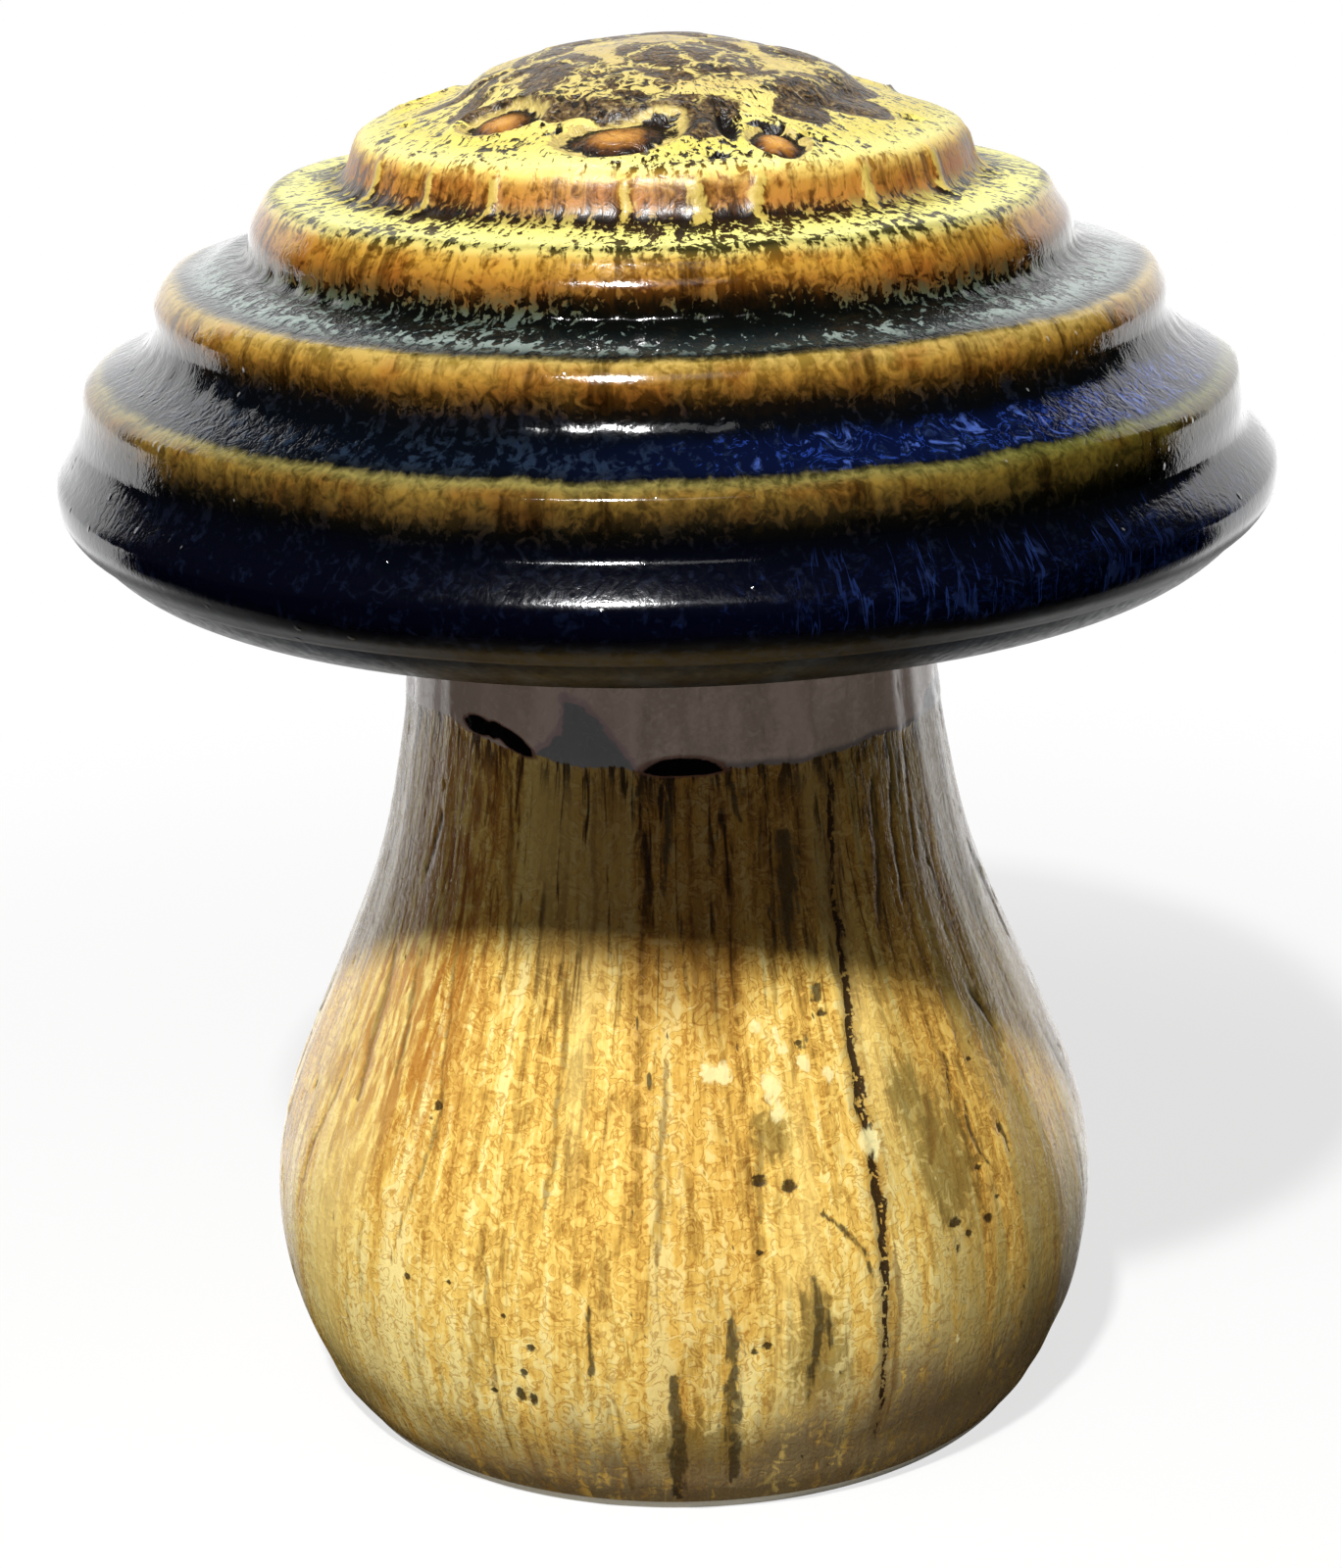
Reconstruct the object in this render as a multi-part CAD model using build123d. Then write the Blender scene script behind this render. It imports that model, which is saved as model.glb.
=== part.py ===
from build123d import *
import os

os.makedirs("parts", exist_ok=True)

# Driving dimensions, in millimetres. The base stands on z = 0 and the axis of the turned shapes is Z.

# Base pad, a felt disc glued under the stem
pad_thickness = 1.1
pad_inset = 0.7

# Stem, a hollow pear with a shoulder and a spigot
stem_height = 90.9
foot_radius = 37.9
belly_radius = 44.3
belly_height = 20.0
neck_radius = 27.2
stem_wall = 5.0
foot_ring_width = 6.5
foot_recess = 2.0
vent_radius = 8.0
shoulder_edge_radius = 1.2
shoulder_width = 6.6
spigot_wall = 4.2
spigot_length = 15.0
spigot_edge_radius = 1.0

# Seat ring, a cork washer between the shoulder and the cap
seat_thickness = 1.5
seat_clearance = 0.8
seat_inset = 1.4

# Underside of the cap, a saucer with a socket in the middle
socket_clearance = 0.6
socket_wall = 4.2
socket_height = 10.5
saucer_wall = 5.0
roll_drop = 1.4
seam_rise = 2.9
seam_width = 5.0
land_share = 0.641
roll_share = 0.795
seam_share = 0.949

# Dome of the cap, with four ridges and a rounded rim
cap_radius = 62.4
dome_rise = 47.8
dome_wall = 5.2
crown_bulge_share = (0.150, 0.981)
crown_edge_share = (0.285, 0.931)
crown_foot_share = (0.326, 0.892)
crest_shares = ((0.479, 0.826), (0.627, 0.703), (0.798, 0.525), (0.934, 0.314))
foot_shares = ((0.519, 0.728), (0.670, 0.569), (0.833, 0.391), (0.942, 0.205))
rim_shares = ((1.000, 0.122), (1.000, 0.080), (0.976, 0.031))
crest_edge_radii = (2.0, 1.3, 1.0, 0.9)
crest_foot_radii = (1.3, 2.0, 2.2, 2.5)
rim_edge_radii = (2.0, 2.0, 3.0)
crown_foot_radius = 1.5

# Outline of the stem between its named sizes: (share of the height, share of the swelling)
lower_stem_shares = ((0.10, 0.26), (0.25, 0.47), (0.45, 0.73), (0.70, 0.92))
upper_stem_shares = ((0.127, 0.936), (0.268, 0.719), (0.408, 0.468), (0.549, 0.246), (0.690, 0.115), (0.830, 0.028))
neck_end_share = 0.965

# Radii that pieces share
spigot_radius = neck_radius - shoulder_width
seam_radius = cap_radius * seam_share
seam_inside_radius = seam_radius - seam_width

# Heights of the planes where pieces meet
stem_bottom = pad_thickness
shoulder_z = stem_bottom + stem_height
land_z = shoulder_z + seat_thickness
seam_z = land_z + seam_rise
apex_z = seam_z + dome_rise
spigot_top = shoulder_z + spigot_length

# Diagonal step of one wall thickness, as a share along each axis
diagonal_share = 0.7

# Directions in the half section
outwards = Vector(1, 0, 0)
inwards = Vector(-1, 0, 0)
down_inwards = Vector(-1, 0, -2)
standing = (Align.CENTER, Align.CENTER, Align.MIN)


def turned(edges):
    """Closes the outline of a half section in the XZ plane and turns it about Z."""
    section = make_face(edges)
    return revolve(section, Axis.Z)


def flat(radius, height):
    """Point of a half section: distance from the axis and height."""
    return Vector(radius, 0, height)


def save(solid, name):
    """Writes one piece as a STEP file under its own name."""
    solid.label = name
    export_step(solid, os.path.join("parts", name + ".step"))


def stem_points(inset):
    """Points up the side of the stem, moved towards the axis by inset, from the foot to the neck."""
    foot = foot_radius - inset
    belly = belly_radius - inset
    neck = neck_radius - inset
    points = []
    for height_share, swell_share in lower_stem_shares:
        height = stem_bottom + belly_height * height_share
        points.append(flat(foot + (belly - foot) * swell_share, height))
    belly_z = stem_bottom + belly_height
    points.append(flat(belly, belly_z))
    for height_share, swell_share in upper_stem_shares:
        height = belly_z + (shoulder_z - belly_z) * height_share
        points.append(flat(neck + (belly - neck) * swell_share, height))
    points.append(flat(neck, belly_z + (shoulder_z - belly_z) * neck_end_share))
    return points


def base_pad():
    """Felt disc under the foot ring."""
    return Cylinder(foot_radius - pad_inset, pad_thickness, align=standing)


def stem():
    """Hollow pear on a foot ring, with an open spigot above a flat shoulder."""
    side = stem_points(0)
    inside = stem_points(stem_wall)
    foot_edge = flat(foot_radius, stem_bottom)
    recess_radius = foot_radius - foot_ring_width
    recess_z = stem_bottom + foot_recess
    floor_z = recess_z + stem_wall
    outer = Spline([foot_edge] + side)
    neck_top = side[-1]
    shoulder = FilletPolyline(
        neck_top,
        flat(neck_radius, shoulder_z),
        flat(spigot_radius, shoulder_z),
        radius=[shoulder_edge_radius],
    )
    bore_radius = spigot_radius - spigot_wall
    spigot = FilletPolyline(
        flat(spigot_radius, shoulder_z),
        flat(spigot_radius, spigot_top),
        flat(bore_radius, spigot_top),
        flat(bore_radius, shoulder_z - stem_wall),
        radius=[spigot_edge_radius, spigot_edge_radius],
    )
    # The inside rises from the floor at the foot of the wall and ends below the shoulder.
    rising = [point for point in inside if floor_z < point.Z < shoulder_z - stem_wall]
    floor_edge = flat(foot_radius - stem_wall, floor_z)
    inner = Spline([floor_edge] + rising)
    crown = Polyline(flat(bore_radius, shoulder_z - stem_wall), rising[-1])
    base = Polyline(
        floor_edge,
        flat(vent_radius, floor_z),
        flat(vent_radius, recess_z),
        flat(recess_radius, recess_z),
        flat(recess_radius, stem_bottom),
        foot_edge,
    )
    return turned([outer, shoulder, spigot, crown, inner, base])


def seat_ring():
    """Cork washer that lies on the shoulder, round the spigot."""
    outside = Cylinder(neck_radius - seat_inset, seat_thickness, align=standing)
    inside = Cylinder(spigot_radius + seat_clearance, seat_thickness, align=standing)
    return Pos(0, 0, shoulder_z) * (outside - inside)


def cap_underside():
    """Saucer that closes the dome, with a socket round the spigot."""
    bore = spigot_radius + socket_clearance
    socket_outside = bore + socket_wall
    floor_z = land_z + saucer_wall
    roll_radius = cap_radius * roll_share
    seam_point = flat(seam_radius, seam_z)
    roll_point = flat(roll_radius, land_z - roll_drop)
    land_point = flat(cap_radius * land_share, land_z)
    roll = TangentArc(roll_point, seam_point, tangent=outwards)
    dish = Spline([roll_point, land_point], tangents=[inwards, inwards])
    socket = Polyline(
        land_point,
        flat(bore, land_z),
        flat(bore, land_z + socket_height),
        flat(socket_outside, land_z + socket_height),
        flat(socket_outside, floor_z),
        flat(roll_radius, floor_z),
        flat(seam_inside_radius, seam_z),
        seam_point,
    )
    return turned([roll, dish, socket])


def dome_point(shares):
    """Point of the dome's half section, from its shares of the cap's radius and of the dome's rise."""
    radius_share, height_share = shares
    return flat(cap_radius * radius_share, seam_z + dome_rise * height_share)


def cap_dome():
    """Ridged dome with an even wall, flat where it meets the saucer."""
    apex = flat(0, apex_z)
    crown_edge = dome_point(crown_edge_share)
    crown = ThreePointArc(apex, dome_point(crown_bulge_share), crown_edge)
    corners = [crown_edge, dome_point(crown_foot_share)]
    radii = [crown_foot_radius]
    ridges = zip(crest_shares, foot_shares, crest_edge_radii, crest_foot_radii)
    for crest_share, foot_share, crest_radius, hollow_radius in ridges:
        corners += [dome_point(crest_share), dome_point(foot_share)]
        radii += [crest_radius, hollow_radius]
    corners += [dome_point(shares) for shares in rim_shares]
    radii += rim_edge_radii
    seam_point = flat(seam_radius, seam_z)
    seam_inside = flat(seam_inside_radius, seam_z)
    ridged = FilletPolyline(corners + [seam_point], radius=radii)
    step = dome_wall * diagonal_share
    ceiling = [flat(0, apex_z - dome_wall)]
    for shares in foot_shares:
        point = dome_point(shares)
        ceiling.append(flat(point.X - step, point.Z - step))
    inner = Spline(ceiling + [seam_inside], tangents=[outwards, down_inwards])
    seam = Polyline(seam_point, seam_inside)
    axis = Polyline(apex, ceiling[0])
    return turned([crown, ridged, seam, inner, axis])


save(base_pad(), "base_pad")
save(stem(), "stem")
save(seat_ring(), "seat_ring")
save(cap_underside(), "cap_underside")
save(cap_dome(), "cap_dome")
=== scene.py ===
# %% [markdown]
# # A glazed ceramic mushroom
# This lesson dresses a turned ceramic mushroom: a ridged cap, the saucer that closes it from
# below, a pear-shaped stem, a cork ring and a felt pad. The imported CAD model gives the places,
# and every surface here is worked out with numpy from the same outline.

# %% Load the frame
import math
import bpy
import numpy as np
from mathutils import Matrix


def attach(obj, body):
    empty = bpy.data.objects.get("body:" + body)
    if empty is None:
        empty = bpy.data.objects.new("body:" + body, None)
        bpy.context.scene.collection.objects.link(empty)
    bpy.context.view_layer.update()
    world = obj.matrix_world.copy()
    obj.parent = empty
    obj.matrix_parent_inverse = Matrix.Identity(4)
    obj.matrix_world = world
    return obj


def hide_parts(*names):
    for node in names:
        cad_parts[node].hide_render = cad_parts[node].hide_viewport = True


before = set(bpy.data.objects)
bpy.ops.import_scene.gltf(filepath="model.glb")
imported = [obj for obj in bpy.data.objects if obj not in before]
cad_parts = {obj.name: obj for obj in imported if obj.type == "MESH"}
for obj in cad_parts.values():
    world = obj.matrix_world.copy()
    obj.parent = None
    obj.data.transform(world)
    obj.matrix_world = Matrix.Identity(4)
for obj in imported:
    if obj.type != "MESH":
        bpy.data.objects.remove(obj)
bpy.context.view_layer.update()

# %% [markdown]
# ## Helpers for materials
# Colours are written as sRGB hex values, as a colour picker shows them, and Blender wants
# linear light, so one function turns one into the other. Nodes could be placed by hand in the
# editor. Here one function adds a node with its options and fills its sockets, which keeps each
# glaze readable from top to bottom.

# %% Colours
MM = 0.001


def linear(code):
    """Linear RGBA of a hex colour: each channel c becomes ((c + 0.055) / 1.055) to the power 2.4,
    or c / 12.92 where it is very dark."""
    channels = np.array([int(code[at:at + 2], 16) for at in (1, 3, 5)]) / 255
    dark = channels <= 0.04045
    light = np.where(dark, channels / 12.92, ((channels + 0.055) / 1.055) ** 2.4)
    return (*light.tolist(), 1.0)


# %% Nodes
def wire(node, wires):
    """Fills a node's inputs. wires maps an input's name, or its number among the open inputs, to a
    value, a hex colour, a node or an output. A list fills the open inputs in order."""
    open_inputs = [socket for socket in node.inputs if socket.enabled]
    for key, value in (wires if isinstance(wires, dict) else dict(enumerate(wires))).items():
        found = open_inputs[key] if isinstance(key, int) else next(
            socket for socket in open_inputs if socket.name == key)
        if isinstance(value, bpy.types.Node):
            value = next(socket for socket in value.outputs if socket.enabled)
        if isinstance(value, bpy.types.NodeSocket):
            node.id_data.links.new(value, found)
        else:
            found.default_value = linear(value) if isinstance(value, str) else value


def add(kind, wires=(), stops=None, **settings):
    """Adds a node to the tree in hand, with its settings and wires. stops are a colour ramp's."""
    made = tree.nodes.new("ShaderNode" + kind)
    for name, value in settings.items():
        setattr(made, name, value)
    if stops:
        elements = made.color_ramp.elements
        while len(elements) < len(stops):
            elements.new(0.5)
        for element, (position, code) in zip(elements, stops):
            element.position = position
            element.color = linear(code)
    wire(made, wires)
    return made


def new_material(name):
    """A node material, its tree, and its Principled shader, which is wired to the output."""
    material = bpy.data.materials.new(name)
    material.use_nodes = True
    return material, material.node_tree, material.node_tree.nodes["Principled BSDF"]


def coat(piece, material):
    """Gives a piece its material, and prints how many nodes draw it."""
    piece.data.materials.append(material)
    print(f"{piece.name} is coated with {material.name}, {len(material.node_tree.nodes)} nodes")


# %% [markdown]
# A glaze is painted in layers. Each layer is a colour and the places that it covers, and noises
# tear its border as a real glaze runs. Four short formulas say where a layer lies, and three
# more give the places in which the noises are read. Node groups could hold them, but plain
# functions are easier to read side by side.

# %% Layers of glaze
NOISE = ("Vector", "Scale", "Detail", "Roughness", "Distortion")


def frayed(value, *noises):
    """A value moved by noises. Each (noise, amount) adds the noise less a half, times the amount."""
    for noise, amount in noises:
        middle = add("Math", [noise, 0.5], operation="SUBTRACT")
        value = add("Math", [middle, amount, value], operation="MULTIPLY_ADD")
    return value


def share(*parts):
    """The product of its parts. A part is a value, or a smooth step (value, low, high, top) that
    goes from 0 at low to top at high. top is 1 where it is left out."""
    product = None
    for part in parts:
        if isinstance(part, tuple):
            value, low, high, top = (*part, 1.0)[:4]
            part = add("MapRange", [value, low, high, 0.0, top], interpolation_type="SMOOTHSTEP")
        product = part if product is None else add("Math", [product, part], operation="MULTIPLY")
    return product


def paint(base, colour, *parts, blend="MIX"):
    """A colour laid over a base. The product of the parts is how much of it shows."""
    return add("Mix", {"Factor": share(*parts), "A": base, "B": colour}, data_type="RGBA", blend_type=blend)


def off_middle(noise):
    """How far a noise is from its middle. Where this is near 0, it draws lines that wander."""
    return add("Math", [frayed(0.0, (noise, 1.0))], operation="ABSOLUTE")


# %% Places for the noises
def in_mm():
    """Object coordinates of the shaded point, in mm."""
    return add("VectorMath", {0: add("TexCoord").outputs["Object"], "Scale": 1 / MM}, operation="SCALE")


def level_way(vector):
    """The level part of a vector, divided by its length."""
    return add("VectorMath", [add("VectorMath", [vector, (1, 1, 0)], operation="MULTIPLY")], operation="NORMALIZE")


def along_grain(way, girth, up, stretch):
    """The way round the axis times girth, and the way up times stretch. A small stretch makes a
    noise that is read there run on down the slope."""
    around_axis = add("VectorMath", {0: way, "Scale": girth}, operation="SCALE")
    slow = add("CombineXYZ", {"Z": add("Math", [up, stretch], operation="MULTIPLY")})
    return add("VectorMath", [around_axis, slow], operation="ADD")


# %% [markdown]
# ## Camera
# The photograph looks down on the mushroom by about 18 degrees from 37 cm away. The camera was
# fitted to the rings of the turned shape, and it leans a little to one side.

# %% Make the camera
camera_place = np.array([-0.4, -373.18, 189.36]) * MM
pitch, lean = math.radians(18.317), math.radians(-1.394)
focal_pixels, long_side, sensor = 3770.7, 1600, 36.0

forward = np.array([0, math.cos(pitch), -math.sin(pitch)])
level_up = np.array([0, math.sin(pitch), math.cos(pitch)])
level_right = np.array([1.0, 0, 0])
camera_right = math.cos(lean) * level_right + math.sin(lean) * level_up
camera_up = math.cos(lean) * level_up - math.sin(lean) * level_right

camera_data = bpy.data.cameras.new("Camera")
camera_data.sensor_width = sensor
camera_data.lens = focal_pixels / long_side * sensor
camera_data.clip_start, camera_data.clip_end = 0.01, 10
camera = bpy.data.objects.new("Camera", camera_data)
bpy.context.scene.collection.objects.link(camera)
turned = np.eye(4)
turned[:3, 0], turned[:3, 1], turned[:3, 2] = camera_right, camera_up, -forward
turned[:3, 3] = camera_place
camera.matrix_world = Matrix(turned.tolist())
bpy.context.scene.camera = camera
print("lens in mm:", round(camera_data.lens, 1))

# %% [markdown]
# ## Light
# A glossy glaze is lit with few, small lamps, because each one shows as a bright bar on every
# ridge. A small key lamp stands high in front and a little to the left and casts a crisp
# shadow, a weak bar of light round it draws the ridges, and a dim window stands beside it. The
# room on the camera's side is dark, so the glaze stays deep there, and the white sheet behind
# shows along the sides.

# %% Lamps
def strip_lamp(name, azimuth, elevation, distance, width, height, watts):
    """An area lamp that faces a point inside the object. Azimuth 0 is the camera's side and grows to
    the right. Distances and sides are in metres."""
    data = bpy.data.lights.new(name, "AREA")
    data.shape = "RECTANGLE"
    data.size, data.size_y, data.energy = width, height, watts
    lamp = bpy.data.objects.new(name, data)
    bpy.context.scene.collection.objects.link(lamp)
    aim = np.array([0, 0, 0.09])
    turn, rise = math.radians(azimuth), math.radians(elevation)
    level = math.cos(rise)
    away = np.array([math.sin(turn) * level, -math.cos(turn) * level, math.sin(rise)])
    across = np.array([math.cos(turn), math.sin(turn), 0])
    place = np.eye(4)
    place[:3, 0], place[:3, 1], place[:3, 2] = across, np.cross(away, across), away
    place[:3, 3] = away * distance + aim
    lamp.matrix_world = Matrix(place.tolist())
    print(name, "at", np.round(place[:3, 3], 2))
    return lamp


strip_lamp("Key_lamp", -14, 50, 0.9, 0.055, 0.055, 9.9)
strip_lamp("Bar_lamp", -18, 51, 0.9, 0.20, 0.03, 0.9)
strip_lamp("Dim_window", 6, 52, 0.9, 0.24, 0.14, 0.12)

# %% [markdown]
# The world is white to the camera. To mirror rays it is a white sheet behind the object and a
# dark room in front, and to soft light it is an even, dim glow.

# %% World
world = bpy.data.worlds.new("Studio")
bpy.context.scene.world = world
world.use_nodes = True
tree = world.node_tree
tree.nodes.clear()
toward = add("TexCoord").outputs["Generated"]
backward = add("SeparateXYZ", [level_way(toward)]).outputs["Y"]
upward = add("SeparateXYZ", [toward]).outputs["Z"]
mirrored = add("MapRange", [share((backward, 0.58, 0.63), (upward, 0.68, 0.50)), 0.0, 1.0, 0.012, 1.35])
rays = add("LightPath")
seen = add("Math", [rays.outputs["Is Camera Ray"], rays.outputs["Is Transmission Ray"]], operation="MAXIMUM")
soft = add("Mix", {"Factor": rays.outputs["Is Glossy Ray"], "A": 0.13, "B": mirrored})
level = add("Mix", {"Factor": seen, "A": soft, "B": 1.0})
add("OutputWorld", {"Surface": add("Background", {"Color": "#ffffff", "Strength": level})})
print(world.name, "has", len(tree.nodes), "nodes")

# %% [markdown]
# ## Shapes on a grid
# Everything here was thrown or cast round one axis, so one idea makes it all: a half outline,
# carried round the axis as a grid of rows and columns. Turn 0 faces the camera.

# %% Rounded corners and arcs
def rounded(corners, radii, step=0.2):
    """Straight runs between corners, each inner corner rounded by an arc: the arc's centre lies on
    the corner's bisector, at radius over the sine of half the corner's angle."""
    corners = [np.array(corner, float) for corner in corners]
    line = [corners[0][None]]
    for before, corner, after, radius in zip(corners, corners[1:], corners[2:], radii):
        back = (before - corner) / np.linalg.norm(before - corner)
        on = (after - corner) / np.linalg.norm(after - corner)
        half = math.acos(np.clip(back @ on, -1, 1)) / 2
        centre = corner + (back + on) / np.linalg.norm(back + on) * radius / math.sin(half)
        first = corner + back * radius / math.tan(half) - centre
        last = corner + on * radius / math.tan(half) - centre
        start = math.atan2(first[1], first[0])
        sweep = (math.atan2(last[1], last[0]) - start + math.pi) % (2 * math.pi) - math.pi
        angles = start + sweep * np.linspace(0, 1, max(4, int(abs(sweep) * radius / step) + 2))
        line.append(centre + radius * np.stack([np.cos(angles), np.sin(angles)], -1))
    line.append(corners[-1][None])
    return np.concatenate(line)


def arc_through(first, middle, last, count=60):
    """Points along the circle through three points, whose centre is as far from each of them."""
    first, middle, last = (np.array(point, float) for point in (first, middle, last))
    sides = np.array([middle - first, last - first])
    centre = np.linalg.solve(sides, [(end @ end - first @ first) / 2 for end in (middle, last)])
    start, end = (math.atan2(*(point - centre)[::-1]) for point in (first, last))
    angles = np.linspace(start, end, count)
    return centre + np.linalg.norm(first - centre) * np.stack([np.cos(angles), np.sin(angles)], -1)


# %% Smooth curves and even spacing
def spline_through(points, count=400):
    """Cubic spline through points with free ends: the bend at each point solves a chain of
    equations, so that slope and bend run on from one stretch to the next."""
    points = np.array(points, float)
    gaps = np.linalg.norm(np.diff(points, axis=0), axis=1)
    knots = np.concatenate([[0], np.cumsum(gaps)])
    inner = np.arange(1, len(points) - 1)
    chain, right = np.eye(len(points)), np.zeros((len(points), 2))
    chain[inner, inner - 1], chain[inner, inner], chain[inner, inner + 1] = (
        gaps[:-1], 2 * (gaps[:-1] + gaps[1:]), gaps[1:])
    slopes = np.diff(points, axis=0) / gaps[:, None]
    right[inner] = 6 * np.diff(slopes, axis=0)
    bends = np.linalg.solve(chain, right)
    along = np.linspace(0, knots[-1], count)
    at = np.clip(np.searchsorted(knots, along, side="right") - 1, 0, len(gaps) - 1)
    gap = gaps[at][:, None]
    before, after = (knots[at + 1] - along)[:, None] / gap, (along - knots[at])[:, None] / gap
    bent = (before ** 3 - before) * bends[at] + (after ** 3 - after) * bends[at + 1]
    return before * points[at] + after * points[at + 1] + bent * gap ** 2 / 6


def measured(line):
    """A line without doubled points, and the distance run along it to each point."""
    steps = np.linalg.norm(np.diff(line, axis=0), axis=1)
    line = line[np.concatenate([[True], steps > 1e-6])]
    return line, np.concatenate([[0], np.cumsum(np.linalg.norm(np.diff(line, axis=0), axis=1))])


def spaced(line, spacing):
    """The same line with points at even distances, no further apart than spacing."""
    line, run = measured(line)
    even = np.linspace(0, run[-1], int(run[-1] / spacing) + 2)
    return np.stack([np.interp(even, run, line[:, 0]), np.interp(even, run, line[:, 1])], -1)


def outward(line):
    """Direction square to a half outline: its slope turned a quarter turn to the left."""
    slope = np.gradient(line, axis=0)
    slope /= np.linalg.norm(slope, axis=1)[:, None]
    return np.stack([-slope[:, 1], slope[:, 0]], -1)


# %% Turns round the axis
def round_the_axis(columns):
    """One row of turns, evenly round the axis."""
    return np.linspace(-math.pi, math.pi, columns, endpoint=False)[None, :]


# %% A turned piece
def turned_piece(name, line, turn, poles=None, relief=None, values=None, limits=(math.inf, math.inf)):
    """A closed mesh from a line of (radius, height) in mm, carried round the axis: x is radius
    times the sine of the turn, and y is minus radius times its cosine. poles closes both ends with
    a point on the axis, and otherwise the last row joins the first. relief moves the first rows
    square to the line, within the limits for radius and height. values maps an attribute's name to
    its grid on the first rows and its value on the others."""
    radius, height = line[:, :1] + 0 * turn, line[:, 1:] + 0 * turn
    if relief is not None:
        moved = len(relief)
        square = outward(line[:moved])
        radius[:moved] = np.minimum(radius[:moved] + square[:, :1] * relief, limits[0])
        height[:moved] = np.minimum(height[:moved] + square[:, 1:] * relief, limits[1])
    rows, columns = radius.shape
    points = np.stack([radius * np.sin(turn), -radius * np.cos(turn), height], -1).reshape(-1, 3)
    here = np.arange(rows * columns).reshape(rows, columns)
    beside = np.roll(here, -1, axis=1)
    quads = np.stack([here, np.roll(here, -1, axis=0), np.roll(beside, -1, axis=0), beside], -1)
    quads = (quads[:-1] if poles else quads).reshape(-1, 4).tolist()
    fans = []
    if poles:
        points = np.concatenate([points, [[0, 0, poles[0]], [0, 0, poles[1]]]])
        first, last = np.full(columns, rows * columns), np.full(columns, rows * columns + 1)
        fans = np.concatenate([np.stack([first, here[0], beside[0]], -1),
                               np.stack([last, beside[-1], here[-1]], -1)]).tolist()
    mesh = bpy.data.meshes.new(name)
    mesh.from_pydata((points * MM).tolist(), [], quads + fans)
    for label, (grid, others) in (values or {}).items():
        full = np.empty((rows, columns))
        full[:len(grid)], full[len(grid):] = grid, others
        flat = np.append(full, [full[0].mean(), full[-1].mean()] if poles else [])
        mesh.attributes.new(label, "FLOAT", "POINT").data.foreach_set("value", flat.astype(np.float32))
    mesh.shade_smooth()
    mesh.set_sharp_from_angle(angle=math.radians(48))
    piece = bpy.data.objects.new(name, mesh)
    bpy.context.scene.collection.objects.link(piece)
    print(f"{name}: {2 * len(quads) + len(fans)} triangles, widest {2 * radius.max():.1f} mm, "
          f"height {height.min():.1f} to {height.max():.1f} mm")
    return piece


# %% [markdown]
# ## Hand-made unevenness
# A kiln never leaves a glaze even. Waves whose count round the axis is a whole number close on
# themselves, and a seeded choice of their phases gives the same piece every time.

# %% Waves that close round the axis
draw = np.random.default_rng(1871)


def drawn(count, *spans):
    """Rows drawn by the seeded choice. Each value of a row comes from its own span."""
    return list(zip(*(draw.uniform(low, high, count) for low, high in spans)))


def waves(turn, low, high, drift=0.0, run=0.0):
    """Sum of cosines that go round low to high times, each with its own phase, scaled to about
    -1 to 1. drift lets the phases slide as the run goes on."""
    counts = np.arange(low, high + 1)
    phases = draw.uniform(0, 2 * math.pi, len(counts))
    slides = draw.uniform(-1, 1, len(counts)) * drift
    total = sum(np.cos(count * turn + phase + slide * run)
                for count, phase, slide in zip(counts, phases, slides))
    return total / math.sqrt(len(counts)) / 1.4


def bump(value, centre, half_width):
    """A smooth hill: e to the power of minus the squared distance in half widths."""
    return np.exp(-((value - centre) / half_width) ** 2)


def hills(value, *rows):
    """Sum of smooth hills, each given as (height, centre, half width)."""
    return sum(height * bump(value, centre, half_width) for height, centre, half_width in rows)


def ramp(value, start, end):
    """A straight ramp from 0 at start to 1 at end."""
    return np.clip((value - start) / (end - start), 0, 1)


def apart(turn, degrees):
    """Signed turn from a place given in degrees, wrapped to half a round each way."""
    return (turn - np.radians(degrees) + math.pi) % (2 * math.pi) - math.pi


# %% [markdown]
# ## Cap, dome
# The dome has a crown and four ridges over a rounded rim. Its outline repeats the driving
# values of the CAD source, so the two agree. Glaze relief is added square to the outline.

# %% Outline of the dome
cap_radius, dome_rise, seam_height, dome_wall = 62.4, 47.8, 96.4, 5.2
seam_share, roll_share, land_share = 0.949, 0.795, 0.641
seam_radius, seam_width, apex_height = cap_radius * seam_share, 5.0, seam_height + dome_rise
diagonal_share, rim_clearance = 0.7, 0.03
crown_shares = ((0.150, 0.981), (0.285, 0.931), (0.326, 0.892))
crest_shares = ((0.479, 0.826), (0.627, 0.703), (0.798, 0.525), (0.934, 0.314))
foot_shares = ((0.519, 0.728), (0.670, 0.569), (0.833, 0.391), (0.942, 0.205))
rim_shares = ((1.000, 0.122), (1.000, 0.080), (0.976, 0.031))


def dome_point(shares):
    """Radius and height in mm, from shares of the cap's radius and of the dome's rise."""
    return (cap_radius * shares[0], seam_height + dome_rise * shares[1])


crown_arc = arc_through((0, apex_height), dome_point(crown_shares[0]), dome_point(crown_shares[1]))
ridge_corners = [dome_point(crown_shares[1]), dome_point(crown_shares[2])]
for crest, foot in zip(crest_shares, foot_shares):
    ridge_corners += [dome_point(crest), dome_point(foot)]
ridge_corners += [dome_point(shares) for shares in rim_shares] + [(seam_radius, seam_height)]
ridge_radii = [1.5, 2.0, 1.3, 1.3, 2.0, 1.0, 2.2, 0.9, 2.5, 2.0, 2.0, 3.0]
dome_line = np.concatenate([crown_arc, rounded(ridge_corners, ridge_radii)])
line, run_at = measured(dome_line)
dome_length = run_at[-1]
print(f"the dome's outline runs {dome_length:.1f} mm from the top to the seam")

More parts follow.
